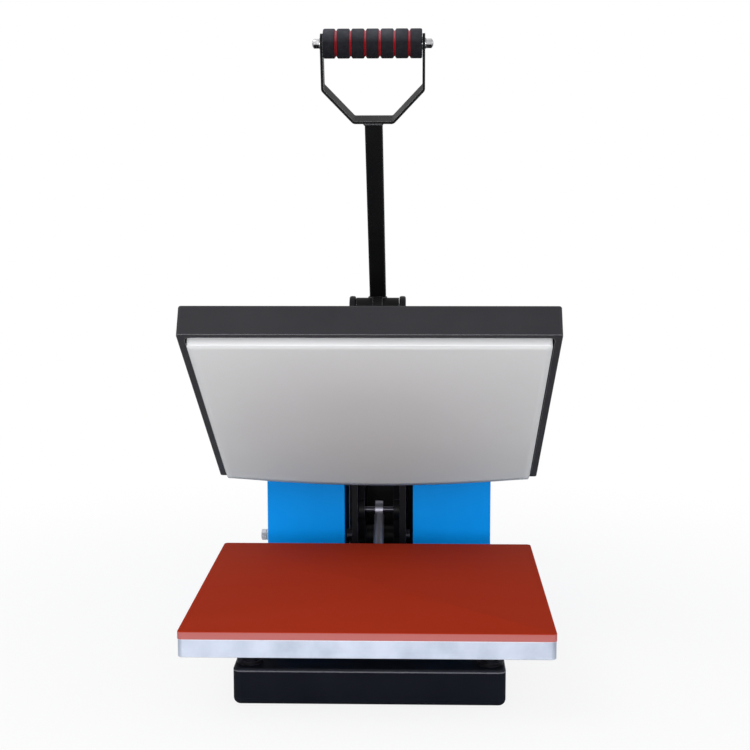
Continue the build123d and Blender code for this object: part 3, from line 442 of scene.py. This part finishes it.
looks = {
    # The base's pale edge colour paints a highlight line along its edges.
    "basePaint": {
        "colour": (0.0050, 0.0060, 0.0110), "second": (0.0080, 0.0092, 0.0150),
        "roughness": (0.34, 0.48), "specular": 0.12, "ior": 1.25, "wearAndEdgeLight": 1.0,
        "wearAndEdgeLightColour": (0.27, 0.27, 0.30), "wearAndEdgeLightRadius": 0.0016, "wearAndEdgeLightBreaks": 0.12, "dustAndTopLight": 0.02,
        "bump": 0.18, "grain": 1300.0,
    },
    # The lever's pale edge colour paints highlight lines along the tube's and strap's edges.
    "leverPaint": {
        "colour": (0.0060, 0.0060, 0.0064), "second": (0.009, 0.009, 0.0095), "roughness": (0.36, 0.5),
        "specular": 0.2, "ior": 1.22, "wearAndEdgeLight": 0.85, "wearAndEdgeLightColour": (0.3, 0.3, 0.32),
        "wearAndEdgeLightRadius": 0.0007, "wearAndEdgeLightBreaks": 0.25, "dustAndTopLight": 0.02, "bump": 0.15, "grain": 1500.0,
    },
    "armPaint": {
        "colour": (0.0038, 0.0038, 0.0050), "second": (0.0068, 0.0068, 0.0088),
        "roughness": (0.38, 0.5), "specular": 0.09, "wearAndEdgeLight": 0.8, "wearAndEdgeLightColour": (0.055, 0.055, 0.085),
        "wearAndEdgeLightBreaks": 0.36, "dustAndTopLight": 0.03, "bump": 0.2,
    },
    # The cover's pale edge colour paints a highlight line along its edges.
    "coverPaint": {
        "colour": (0.0190, 0.0186, 0.0222), "second": (0.0238, 0.0232, 0.0270),
        "roughness": (0.46, 0.58), "specular": 0.14, "wearAndEdgeLight": 0.75, "wearAndEdgeLightColour": (0.36, 0.36, 0.38),
        "wearAndEdgeLightBreaks": 0.1, "dustAndTopLight": 0.02, "bump": 0.35, "grain": 1800.0, "wearAndEdgeLightRadius": 0.0011,
    },
    "bluePaint": {
        "colour": (0.0008, 0.300, 0.88), "second": (0.001, 0.325, 0.94), "roughness": (0.3, 0.4),
        "specular": 0.05, "wearAndEdgeLight": 0.2, "wearAndEdgeLightColour": (0.25, 0.42, 0.7), "dustAndTopLight": 0.02, "bump": 0.06,
        "coat": 0.03, "coatRoughness": 0.12,
    },
    # The aluminium's bright edge colour paints a highlight along the bed plate's edges.
    "bedAluminium": {
        "colour": (0.37, 0.415, 0.505), "second": (0.50, 0.545, 0.64), "roughness": (0.36, 0.58),
        "metallic": 0.7, "patches": 38.0, "contrast": 2.8, "relief": "lines", "bump": 0.35, "wearAndEdgeLight": 0.8,
        "wearAndEdgeLightBreaks": 0.2, "wearAndEdgeLightRadius": 0.002, "wearAndEdgeLightColour": (0.85, 0.87, 0.92),
    },
    "plateCoating": {
        "colour": (0.62, 0.62, 0.63), "second": (0.70, 0.70, 0.71), "roughness": (0.42, 0.55),
        "metallic": 0.1, "patches": 5.0, "bump": 0.1,
    },
    "releaseCloth": {
        "colour": (0.66, 0.665, 0.665), "second": (0.73, 0.735, 0.735), "roughness": (0.5, 0.62),
        "specular": 0.25, "patches": 4.0, "contrast": 1.6, "relief": "weave", "bump": 0.12,
        "bumpDepth": 0.0001,
    },
    # The pad's paler side colour paints a sheen on its upright sides.
    "redSilicone": {
        "colour": (0.37, 0.029, 0.0085), "second": (0.34, 0.0262, 0.0080), "roughness": (0.7, 0.82),
        "specular": 0.02, "patches": 3.5, "contrast": 2.0, "sideSheenColour": (0.415, 0.135, 0.128),
        "bump": 0.2, "grain": 700.0, "bounce": (0.20, 0.13, 0.12),
    },
    # The foam's dust colour is a painted highlight: it makes the tops of the black swells lighter than their
    # undersides.
    "blackFoam": {
        "colour": (0.0075, 0.0075, 0.0095), "second": (0.0150, 0.0150, 0.0185),
        "roughness": (0.75, 0.9), "specular": 0.08, "patches": 160.0, "bump": 0.9, "grain": 1500.0,
        "waves": 500.0, "bumpDepth": 0.0005, "dustAndTopLight": 0.75, "dustAndTopLightColour": (0.16, 0.165, 0.19),
    },
    # The rings' pink dust colour is a painted highlight on their tops.
    "redFoam": {
        "colour": (0.34, 0.010, 0.016), "second": (0.24, 0.007, 0.011), "roughness": (0.7, 0.85),
        "specular": 0.08, "patches": 120.0, "bump": 0.6, "grain": 1500.0, "waves": 400.0, "dustAndTopLight": 1.4,
        "dustAndTopLightColour": (0.78, 0.36, 0.42),
    },
    "zinc": {
        "colour": (0.50, 0.51, 0.54), "second": (0.66, 0.67, 0.70), "roughness": (0.22, 0.36),
        "metallic": 1.0, "patches": 60.0, "bump": 0.12, "relief": "lines", "across": 2600.0,
    },
    "darkSteel": {
        "colour": (0.045, 0.045, 0.058), "second": (0.075, 0.075, 0.09), "roughness": (0.3, 0.45),
        "metallic": 0.8, "patches": 60.0, "bump": 0.12, "relief": "lines", "across": 2600.0,
    },
    "strutGrey": {
        "colour": (0.16, 0.16, 0.20), "second": (0.26, 0.26, 0.30), "roughness": (0.3, 0.45),
        "metallic": 0.8, "patches": 50.0, "bump": 0.1,
    },
    # The dark edge colour paints dark reflections along the nut's edges, and the light and dark patches paint
    # its reflections.
    "chromeNut": {
        "colour": (0.30, 0.295, 0.31), "second": (0.62, 0.62, 0.64), "roughness": (0.14, 0.3),
        "metallic": 1.0, "patches": 180.0, "contrast": 3.0, "bump": 0.1, "wearAndEdgeLight": 0.8,
        "wearAndEdgeLightColour": (0.06, 0.06, 0.065), "wearAndEdgeLightBreaks": 0.3, "wearAndEdgeLightRadius": 0.0006,
    },
    "mouldedBlack": {
        "colour": (0.014, 0.014, 0.015), "second": (0.022, 0.022, 0.024), "roughness": (0.42, 0.55),
        "patches": 40.0, "dustAndTopLight": 0.1, "bump": 0.4, "grain": 1200.0,
    },
    "rockerRed": {
        "colour": (0.42, 0.012, 0.012), "second": (0.36, 0.01, 0.01), "roughness": (0.2, 0.3),
        "patches": 60.0, "bump": 0.05, "coat": 0.2,
    },
    "keyGrey": {
        "colour": (0.45, 0.46, 0.48), "second": (0.52, 0.53, 0.55), "roughness": (0.45, 0.6),
        "patches": 80.0, "bump": 0.3, "grain": 1500.0,
    },
    "displayGlass": {
        "colour": (0.008, 0.012, 0.014), "second": (0.012, 0.017, 0.02), "roughness": (0.06, 0.1),
        "patches": 30.0, "bump": 0.02, "coat": 0.5, "coatRoughness": 0.03,
    },
    "footRubber": {
        "colour": (0.012, 0.012, 0.012), "second": (0.02, 0.02, 0.02), "roughness": (0.7, 0.85),
        "patches": 80.0, "bump": 0.4, "specular": 0.2,
    },
    "woolBoard": {
        "colour": (0.55, 0.52, 0.45), "second": (0.62, 0.6, 0.52), "roughness": (0.85, 0.95),
        "patches": 120.0, "bump": 0.8, "specular": 0.1,
    },
    "markWhite": {
        "colour": (0.7, 0.7, 0.7), "second": (0.78, 0.78, 0.78), "roughness": (0.4, 0.5),
        "patches": 90.0, "bump": 0.05,
    },
    "brassPin": {
        "colour": (0.55, 0.40, 0.16), "second": (0.65, 0.48, 0.2), "roughness": (0.2, 0.3),
        "metallic": 1.0, "patches": 90.0, "bump": 0.05,
    },
    "weldSteel": {
        "colour": (0.014, 0.014, 0.015), "second": (0.03, 0.03, 0.032), "roughness": (0.35, 0.5),
        "patches": 200.0, "wearAndEdgeLight": 0.4, "wearAndEdgeLightColour": (0.16, 0.16, 0.17), "bump": 0.3,
    },
}
finishes = {name: makeFinish(name, look) for name, look in looks.items()}

wears = {
    "basePaint": ["base_tray", "base_deck"],
    "leverPaint": ["lever_tube", "lever_barrel", "handle_strap", "crank_plate"],
    "armPaint": [
        "tower_left", "tower_right", "tower_back_plate", "tower_tie_rod", "arm_cheek_left",
        "arm_cheek_right", "arm_sleeve", "arm_spacers", "arm_head", "link_left", "link_right",
        "strut_lugs", "platen_bracket", "bed_posts",
    ],
    "coverPaint": ["platen_cover"],
    "bluePaint": ["box_left", "box_right", "back_cover_left", "back_cover_right"],
    "bedAluminium": ["bed_plate"],
    "plateCoating": ["heating_plate"],
    "zinc": [
        "lever_pin", "hinge_bolt", "crank_pin", "link_foot_pin", "bracket_bolts", "guide_rods",
        "pressure_spindle", "box_screws", "grip_core",
    ],
    "darkSteel": ["hinge_shaft", "heel_pins", "strut_top_pin", "strut_rod"],
    "strutGrey": ["strut_cylinder"],
    "chromeNut": ["grip_bolt"],
    "mouldedBlack": ["pressure_knob", "control_bezel", "switch_frame", "power_inlet", "fuse_holder"],
    "rockerRed": ["rocker_key"],
    "keyGrey": ["key_set", "key_down", "key_up", "key_start"],
    "displayGlass": ["control_screen"],
    "footRubber": ["rubber_feet"],
    "woolBoard": ["insulation_board"],
}


def dressNode(node, material):
    piece = nodes[node]
    if not piece.material_slots:
        piece.data.materials.append(material)
    for slot in piece.material_slots:
        slot.link = "OBJECT"
        slot.material = material


for finish, names in wears.items():
    for node in names:
        dressNode(node, finishes[finish])
print("materials ready")


# Mesh helpers

def addPiece(name, bm, finish, body, smooth=True):
    mesh = bpy.data.meshes.new(name)
    bmesh.ops.recalc_face_normals(bm, faces=bm.faces[:])
    bm.to_mesh(mesh)
    bm.free()
    for face in mesh.polygons:
        face.use_smooth = smooth
    mesh.materials.append(finishes[finish])
    piece = bpy.data.objects.new(name, mesh)
    bpy.context.collection.objects.link(piece)
    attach(piece, body)
    return piece


def sharpen(piece, degrees):
    mesh = piece.data
    bm = bmesh.new()
    bm.from_mesh(mesh)
    limit = math.radians(degrees)
    for edge in bm.edges:
        if len(edge.link_faces) == 2 and edge.calc_face_angle() > limit:
            edge.smooth = False
    bm.to_mesh(mesh)
    bm.free()


def skin(bm, first, second):
    # A band of faces between two closed rings with as many points
    for i in range(len(first)):
        j = (i + 1) % len(first)
        bm.faces.new((first[i], first[j], second[j], second[i]))


def lathe(bm, profile, centre, steps):
    # Turned about an axis along X
    rings = []
    for along, radius in profile:
        ring = []
        for i in range(steps):
            angle = 2 * math.pi * i / steps
            ring.append(bm.verts.new((
                centre.x + along,
                centre.y + radius * math.cos(angle),
                centre.z + radius * math.sin(angle),
            )))
        rings.append(ring)
    for first, second in zip(rings, rings[1:]):
        skin(bm, first, second)
    return rings


def closeLathe(bm, rings):
    skin(bm, rings[-1], rings[0])


def roundedOutline(width, depth, corner, steps):
    points = []
    for quarter, signX, signY in ((0, 1, 1), (1, -1, 1), (2, -1, -1), (3, 1, -1)):
        for i in range(steps + 1):
            angle = math.pi / 2 * (quarter + i / steps)
            points.append((
                signX * (width / 2 - corner) + corner * math.cos(angle),
                signY * (depth / 2 - corner) + corner * math.sin(angle),
            ))
    return points


def bendTube(bm, path, radii, steps, closed):
    # A tube along a path of points, its radius swelling from ring to ring
    sideHint = Vector((0.31, 0.17, 0.93))
    count = len(path)
    rings = []
    for i, point in enumerate(path):
        ahead = path[(i + 1) % count] if closed or i < count - 1 else point
        behind = path[i - 1] if closed or i > 0 else point
        along = (ahead - behind).normalized()
        side = along.cross(sideHint).normalized()
        up = side.cross(along)
        ring = []
        for j in range(steps):
            angle = 2 * math.pi * j / steps
            ring.append(bm.verts.new(point + radii[i] * (side * math.cos(angle) + up * math.sin(angle))))
        rings.append(ring)
    last = count if closed else count - 1
    for i in range(last):
        skin(bm, rings[i], rings[(i + 1) % count])
    if not closed:
        bm.faces.new(rings[0])
        bm.faces.new(rings[-1])


# Silicone pad: a moulded slab with a soft top edge

padLook = {"corner": 5 * mm, "edge": 0.9 * mm, "edgeSteps": 4, "cornerSteps": 6, "sharp": 40}


def makeSiliconePad():
    width = padHigh.x - padLow.x
    depth = padHigh.y - padLow.y
    edge = padLook["edge"]
    bm = bmesh.new()
    profile = [(0.0, padLow.z)]
    for i in range(padLook["edgeSteps"] + 1):
        angle = math.pi / 2 * i / padLook["edgeSteps"]
        profile.append((edge * (1 - math.cos(angle)), padHigh.z - edge + edge * math.sin(angle)))
    rings = []
    for inset, height in profile:
        corner = padLook["corner"] - inset
        outline = roundedOutline(width - 2 * inset, depth - 2 * inset, corner, padLook["cornerSteps"])
        rings.append([bm.verts.new((padMiddle.x + x, padMiddle.y + y, height)) for x, y in outline])
    for first, second in zip(rings, rings[1:]):
        skin(bm, first, second)
    bm.faces.new(list(reversed(rings[0])))
    bm.faces.new(rings[-1])
    pad = addPiece("siliconePad", bm, "redSilicone", "root")
    sharpen(pad, padLook["sharp"])
    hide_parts("silicone_pad")


makeSiliconePad()
print("silicone pad done")


# Release cloth under the hot plate, sagging towards its back edge

clothLook = {
    "cellsAcross": 56, "cellsAlong": 48, "thick": 0.25 * mm, "sag": 9.0 * mm, "lift": 0.1 * mm, "keep": 0.03,
    "puckers": 0.35 * mm, "puckersAcross": 3.1, "puckersAlong": 4.3, "puckersFrom": 0.7, "edgeHold": 6,
    "swellPower": 1.2, "sagFrom": 0.35, "sagPower": 2.2,
    "frontEase": 0.4 * mm, "lengthEase": 1.5 * mm, "sideEase": 0.2 * mm,
}


def clothPoint(across, along):
    # across runs -1 to 1 over the width, along 0 at the front to 1 at the back
    swell = (1 - across * across) ** clothLook["swellPower"]
    late = max(0.0, (along - clothLook["sagFrom"]) / (1 - clothLook["sagFrom"]))
    drop = clothLook["sag"] * swell * late ** clothLook["sagPower"]
    x, y = across * clothLook["puckersAcross"], along * clothLook["puckersAlong"]
    pucker = noise.noise(Vector((x, y, clothLook["puckersFrom"]))) * clothLook["puckers"]
    return drop + abs(pucker) * min(1.0, clothLook["edgeHold"] * (1 - abs(across)))


def makeReleaseCloth():
    low, high = (Vector(corner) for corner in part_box("release_sheet"))
    half = (high.x - low.x) / 2
    alongDirection = Vector((0, math.cos(openAngle), -math.sin(openAngle)))
    frontEdge = Vector((0, low.y, high.z))
    length = (high.z - low.z) / math.sin(openAngle)
    face = frontEdge + plateDown * (-clothLook["lift"])
    bm = bmesh.new()
    layers = []
    for layer in (0, 1):
        rows = []
        for i in range(clothLook["cellsAlong"] + 1):
            along = i / clothLook["cellsAlong"]
            reach = along * (length - clothLook["lengthEase"]) + clothLook["frontEase"]
            row = []
            for j in range(clothLook["cellsAcross"] + 1):
                across = -1 + 2 * j / clothLook["cellsAcross"]
                place = face + alongDirection * reach
                place = place + Vector((across * (half - clothLook["sideEase"]), 0, 0))
                place = place + plateDown * (clothPoint(across, along) + layer * clothLook["thick"])
                row.append(bm.verts.new(place))
            rows.append(row)
        layers.append(rows)
    top, bottom = layers
    rowCount, columns = len(top), len(top[0])
    for i in range(rowCount - 1):
        for j in range(columns - 1):
            for rows, turn in ((top, False), (bottom, True)):
                corners = [rows[i][j], rows[i][j + 1], rows[i + 1][j + 1], rows[i + 1][j]]
                bm.faces.new(list(reversed(corners)) if turn else corners)
    rim = [(0, j) for j in range(columns)]
    rim += [(i, columns - 1) for i in range(1, rowCount)]
    rim += [(rowCount - 1, j) for j in range(columns - 2, -1, -1)]
    rim += [(i, 0) for i in range(rowCount - 2, 0, -1)]
    for first, second in zip(rim, rim[1:] + rim[:1]):
        bm.faces.new((
            top[first[0]][first[1]], top[second[0]][second[1]],
            bottom[second[0]][second[1]], bottom[first[0]][first[1]],
        ))
    cloth = addPiece("releaseCloth", bm, "releaseCloth", "platen")
    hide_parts("release_sheet")
    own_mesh(cloth)


makeReleaseCloth()
print("release cloth done")


# Foam grip: seven black swells with red V grooves between them

gripLook = {
    "grooves": 6, "pitch": 16.1 * mm, "grooveWidth": 3.3 * mm, "grooveDepth": 2.6 * mm, "endRound": 1.8 * mm,
    "bore": 7.4 * mm, "steps": 72, "endSteps": 4,
    "grooveSide": ((0.8 * mm, 0.0), (0.2 * mm, 0.25 * mm), (-0.35 * mm, 0.8 * mm)),
    "floorHalf": 0.5 * mm, "floorDrop": 0.3 * mm,
    "ringEase": 0.25 * mm, "ringDrop": 0.75 * mm, "ringFloorHalf": 0.15 * mm,
    "ringFootHalf": 0.4 * mm, "ringFootDrop": 0.6 * mm, "ringSharp": 30,
}


def makeGrip():
    low, high = (Vector(corner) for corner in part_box("grip_foam"))
    length = high.x - low.x
    radius = (high.z - low.z) / 2
    half = gripLook["grooveWidth"] / 2
    edge = gripLook["endRound"]
    endSteps = gripLook["endSteps"]
    start = -length / 2
    profile = [(start, gripLook["bore"]), (start, radius - edge)]
    for i in range(1, endSteps + 1):
        angle = math.pi / 2 * i / endSteps
        profile.append((start + edge * (1 - math.cos(angle)), radius - edge + edge * math.sin(angle)))
    grooves = [(i - (gripLook["grooves"] - 1) / 2) * gripLook["pitch"] for i in range(gripLook["grooves"])]
    # Half a groove, as steps out from its middle and heights
    flank = [(half + out, radius - drop) for out, drop in gripLook["grooveSide"]]
    flank.append((gripLook["floorHalf"], radius - gripLook["grooveDepth"] - gripLook["floorDrop"]))
    for centre in grooves:
        profile += [(centre - out, height) for out, height in flank]
        profile += [(centre + out, height) for out, height in reversed(flank)]
    for i in range(endSteps):
        angle = math.pi / 2 * (1 - i / endSteps)
        profile.append((-start - edge * (1 - math.cos(angle)), radius - edge + edge * math.sin(angle)))
    profile += [(-start, radius - edge), (-start, gripLook["bore"])]
    bm = bmesh.new()
    rings = lathe(bm, profile, gripAxis, gripLook["steps"])
    closeLathe(bm, rings)
    foam = addPiece("gripFoam", bm, "blackFoam", "grip")
    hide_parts("grip_foam")
    bm = bmesh.new()
    deep = radius - gripLook["grooveDepth"]
    lip, lipHeight = half - gripLook["ringEase"], radius - gripLook["ringDrop"]
    floorHalf, footHalf = gripLook["ringFloorHalf"], gripLook["ringFootHalf"]
    foot = deep - gripLook["ringFootDrop"]
    for centre in grooves:
        ring = [
            (centre - lip, lipHeight), (centre - floorHalf, deep), (centre + floorHalf, deep),
            (centre + lip, lipHeight), (centre + footHalf, foot), (centre - footHalf, foot),
        ]
        closeLathe(bm, lathe(bm, ring, gripAxis, gripLook["steps"]))
    rings = addPiece("gripRings", bm, "redFoam", "grip")
    sharpen(rings, gripLook["ringSharp"])
    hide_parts("grip_rings")


makeGrip()
print("grip done")


# Cap nuts and washers on the grip bolt

nutLook = {
    "flats": 9.6 * mm, "height": 6.2 * mm, "dome": 1.8 * mm, "washer": 1.2 * mm, "washerRadius": 6.0 * mm,
    "bore": 2.6 * mm, "steps": 48, "washerSteps": 40, "turn": 0.3, "sharp": 28,
    "washerBack": 0.2 * mm, "washerFront": (0.3 * mm, 0.4 * mm),
    "footCorner": 0.96, "footEase": 0.35 * mm, "topCorner": 0.9, "topEase": 0.7 * mm,
    "domeFoot": 0.86, "domeRings": 7,
}


def makeCapNuts():
    low, high = (Vector(corner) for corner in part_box("handle_strap"))
    outer = (high.x - low.x) / 2
    thick, wide, bore = nutLook["washer"], nutLook["washerRadius"], nutLook["bore"]
    back = nutLook["washerBack"]
    frontIn, frontDown = nutLook["washerFront"]
    foot = outer + thick
    washer = [
        (outer, bore), (outer, wide - back), (outer + back, wide),
        (foot - frontIn, wide), (foot, wide - frontDown), (foot, bore),
    ]
    apothem = nutLook["flats"] / 2
    corner = apothem / math.cos(math.pi / 6)
    steps, turn, tall = nutLook["steps"], nutLook["turn"], nutLook["height"]
    sides = (
        (0.0, nutLook["footCorner"]), (nutLook["footEase"], 1.0),
        (tall - nutLook["topEase"], 1.0), (tall, nutLook["topCorner"]),
    )
    bm = bmesh.new()
    for sign in (-1, 1):
        profile = [(sign * along, radius) for along, radius in washer]
        closeLathe(bm, lathe(bm, profile, gripAxis, nutLook["washerSteps"]))
        loops = []
        for along, share in sides:
            loop = []
            for i in range(steps):
                angle = 2 * math.pi * i / steps + turn
                local = (angle - turn) % (math.pi / 3) - math.pi / 6
                reach = min(apothem / math.cos(local), corner * share)
                loop.append(bm.verts.new((
                    gripAxis.x + sign * (foot + along),
                    gripAxis.y + reach * math.cos(angle),
                    gripAxis.z + reach * math.sin(angle),
                )))
            loops.append(loop)
        for k in range(nutLook["domeRings"]):
            rise = math.pi / 2 * k / nutLook["domeRings"]
            reach = apothem * nutLook["domeFoot"] * math.cos(rise)
            loop = []
            for i in range(steps):
                angle = 2 * math.pi * i / steps + turn
                loop.append(bm.verts.new((
                    gripAxis.x + sign * (foot + tall + nutLook["dome"] * math.sin(rise)),
                    gripAxis.y + reach * math.cos(angle),
                    gripAxis.z + reach * math.sin(angle),
                )))
            loops.append(loop)
        for first, second in zip(loops, loops[1:]):
            skin(bm, first, second)
        bm.faces.new(loops[0])
        bm.faces.new(loops[-1])
    nuts = addPiece("gripCapNuts", bm, "chromeNut", "lever")
    sharpen(nuts, nutLook["sharp"])
    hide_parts("grip_nuts")


makeCapNuts()
print("cap nuts done")


# Weld beads where the square tube meets the barrel and the strap, and along the feet of the towers

weldLook = {
    "tube": 20 * mm, "barrel": 15 * mm, "setBack": 18 * mm, "bead": 1.7 * mm, "beadSteps": 8,
    "handleLean": 21.0, "leverLean": 38.11, "handleRise": 88.9 * mm,
    "handleShare": 0.85, "handleSink": 0.5 * mm, "arcSteps": 11, "sideSteps": 14,
    "towerStart": 50 * mm, "towerEnd": 20 * mm, "towerBeads": 60, "towerBead": 1.9 * mm,
    "ripples": 0.22, "rippleTurn": 2.1, "slowRipples": 0.1, "slowTurn": 0.7,
}


def ripple(index):
    quick = weldLook["ripples"] * math.sin(index * weldLook["rippleTurn"])
    return 1 + quick + weldLook["slowRipples"] * math.sin(index * weldLook["slowTurn"])


def weldLoop(points, name, body, bead, closed=True):
    bm = bmesh.new()
    radii = [bead * ripple(i) for i in range(len(points))]
    bendTube(bm, points, radii, weldLook["beadSteps"], closed)
    weld = addPiece(name, bm, "weldSteel", body)


def squareLoop(half, count, height):
    # Points round a level square
    points = []
    for side in range(4):
        for i in range(count):
            t = -half + 2 * half * i / count
            x, y = ((t, -half), (half, t), (-t, half), (-half, -t))[side]
            points.append(Vector((x, y, height)))
    return points


def makeWelds():
    half = weldLook["tube"] / 2
    lever = Matrix.Translation(leverPivot) @ Matrix.Rotation(math.radians(weldLook["leverLean"]), 4, "X")
    barrel, arcSteps, sideSteps = weldLook["barrel"], weldLook["arcSteps"], weldLook["sideSteps"]
    sweep = math.acos((weldLook["setBack"] - half) / barrel)
    arc = []
    for i in range(arcSteps + 1):
        angle = sweep * i / arcSteps
        arc.append((barrel * math.cos(angle), barrel * math.sin(angle)))
    across = [Vector((-half + 2 * half * i / sideSteps, *arc[-1])) for i in range(1, sideSteps)]
    onBarrel = [Vector((-half, y, z)) for y, z in arc] + across
    onBarrel += [Vector((half, y, z)) for y, z in reversed(arc)]
    weldLoop([lever @ point for point in onBarrel], "leverFootWeld", "lever", weldLook["bead"], closed=False)
    tilt = math.radians(weldLook["handleLean"])
    up = Vector((0, -math.sin(tilt), math.cos(tilt)))
    foot = gripAxis - up * weldLook["handleRise"]
    handle = Matrix.Translation(foot) @ Matrix.Rotation(tilt, 4, "X")
    stretch = 1 / math.cos(math.radians(weldLook["leverLean"] - weldLook["handleLean"]))
    underStrap = squareLoop(half, sideSteps, -weldLook["handleSink"])
    seated = [handle @ Vector((p.x, p.y * stretch, p.z)) for p in underStrap]
    weldLoop(seated, "handleWeld", "lever", weldLook["bead"] * weldLook["handleShare"])
    count = weldLook["towerBeads"]
    for sign, side in ((-1, "Left"), (1, "Right")):
        low, high = (Vector(corner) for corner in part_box("tower_left" if sign < 0 else "tower_right"))
        face = low.x if sign < 0 else high.x
        start = low.y + weldLook["towerStart"]
        reach = high.y - weldLook["towerEnd"] - start
        points = [Vector((face, start + reach * i / (count - 1), low.z)) for i in range(count)]
        weldLoop(points, "towerWeld" + side, "root", weldLook["towerBead"], closed=False)


makeWelds()
print("welds done")


# Marks on the keys and the rocker, and the blades in the inlet

keyLook = {
    "mark": 2.3 * mm, "raise": 0.12 * mm, "sink": 0.05 * mm, "keyHalf": 2.5 * mm,
    "arrowFoot": 0.7, "barHalf": 0.3, "ringWidth": 0.35, "taper": 0.94,
}


def panelMatrix(centre, normal):
    upSlope = Vector((0, normal.z, -normal.y))
    turn = Matrix((Vector((1, 0, 0)), upSlope, normal)).transposed().to_4x4()
    return Matrix.Translation(centre) @ turn


def raisedShape(bm, outline, matrix, low, high):
    bottom = [bm.verts.new(matrix @ Vector((x, y, low))) for x, y in outline]
    taper = keyLook["taper"]
    top = [bm.verts.new(matrix @ Vector((x * taper, y * taper, high))) for x, y in outline]
    skin(bm, bottom, top)
    bm.faces.new(list(reversed(bottom)))
    bm.faces.new(top)


def ringShape(bm, radius, width, matrix, low, high, steps=28):
    loops = []
    for reach, height in ((radius, low), (radius, high), (radius - width, high), (radius - width, low)):
        loop = []
        for i in range(steps):
            angle = 2 * math.pi * i / steps
            place = Vector((reach * math.cos(angle), reach * math.sin(angle), height))
            loop.append(bm.verts.new(matrix @ place))
        loops.append(loop)
    for first, second in zip(loops, loops[1:] + loops[:1]):
        skin(bm, first, second)


def makeKeyMarks():
    size, sink = keyLook["mark"], keyLook["sink"]
    arrow, bar = size * keyLook["arrowFoot"], size * keyLook["barHalf"]
    shapes = {
        "key_up": [(-size, -arrow), (size, -arrow), (0, size)],
        "key_down": [(-size, arrow), (0, -size), (size, arrow)],
        "key_set": [(-size, -bar), (size, -bar), (size, bar), (-size, bar)],
        "key_start": None,
    }
    low = keyLook["keyHalf"] - sink
    high = low + keyLook["raise"] + sink
    for key, outline in shapes.items():
        normal = -unit(joints[key + "_press"]["axis"])
        matrix = panelMatrix(middle(key), normal)
        bm = bmesh.new()
        if outline:
            raisedShape(bm, outline, matrix, low, high)
        else:
            ringShape(bm, size, size * keyLook["ringWidth"], matrix, low, high)
        mark = addPiece("mark_" + key, bm, "mouldedBlack", key, smooth=False)


rockerLook = {
    "tilt": -8.0, "markAt": 6.3 * mm, "markRadius": 2.2 * mm, "barHalf": 0.5 * mm, "ringWidth": 0.6 * mm,
    "crest": 1.2 * mm, "rise": 1.0 * mm, "half": 10.5 * mm, "sink": 0.05 * mm, "raise": 0.12 * mm,
}


def makeRockerMarks():
    pivot = Vector(joints["rocker_press"]["pos_m"])
    normal = -unit(joints["key_set_press"]["axis"])
    base = panelMatrix(pivot, normal) @ Matrix.Rotation(math.radians(rockerLook["tilt"]), 4, "X")
    slope = math.atan2(rockerLook["rise"], rockerLook["half"])
    low, high = -rockerLook["sink"], rockerLook["raise"]
    bm = bmesh.new()
    for sign in (-1, 1):
        height = rockerLook["crest"] + rockerLook["markAt"] * math.tan(slope)
        place = base @ Matrix.Translation((0, sign * rockerLook["markAt"], height))
        place = place @ Matrix.Rotation(sign * slope, 4, "X")
        if sign < 0:
            ringShape(bm, rockerLook["markRadius"], rockerLook["ringWidth"], place, low, high)
        else:
            bar, reach = rockerLook["barHalf"], rockerLook["markRadius"]
            outline = [(-bar, -reach), (bar, -reach), (bar, reach), (-bar, reach)]
            raisedShape(bm, outline, place, low, high)
    marks = addPiece("rockerMarks", bm, "markWhite", "rocker", smooth=False)


bladeLook = {
    "width": 1.6 * mm, "height": 4.5 * mm, "spread": 6.5 * mm, "depth": 5.0 * mm, "earthLift": 1.6 * mm,
    "floorLift": 0.8 * mm, "ease": 0.3 * mm, "tipWidth": 0.6, "tipHeight": 0.85,
}


def makeInletBlades():
    low, high = (Vector(corner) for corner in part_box("power_inlet"))
    centre = (low + high) / 2
    floorY = low.y + bladeLook["floorLift"]
    w, h, ease = bladeLook["width"] / 2, bladeLook["height"] / 2, bladeLook["ease"]
    tipWidth, tipHeight = bladeLook["tipWidth"], bladeLook["tipHeight"]
    outline = [
        (-w + ease, -h), (w - ease, -h), (w, -h + ease), (w, h - ease),
        (w - ease, h), (-w + ease, h), (-w, h - ease), (-w, -h + ease),
    ]
    bm = bmesh.new()
    for index in (-1, 0, 1):
        lift = bladeLook["earthLift"] if index == 0 else -bladeLook["earthLift"]
        x0, z0 = centre.x + index * bladeLook["spread"], centre.z + lift
        shoulderY, tipY = floorY + bladeLook["depth"] - ease, floorY + bladeLook["depth"]
        back = [bm.verts.new((x0 + x, floorY, z0 + z)) for x, z in outline]
        front = [bm.verts.new((x0 + x, shoulderY, z0 + z)) for x, z in outline]
        tip = [bm.verts.new((x0 + x * tipWidth, tipY, z0 + z * tipHeight)) for x, z in outline]
        skin(bm, back, front)
        skin(bm, front, tip)
        bm.faces.new(list(reversed(back)))
        bm.faces.new(tip)
    blades = addPiece("inletBlades", bm, "brassPin", "root", smooth=False)


makeKeyMarks()
makeRockerMarks()
makeInletBlades()
print("marks and blades done")
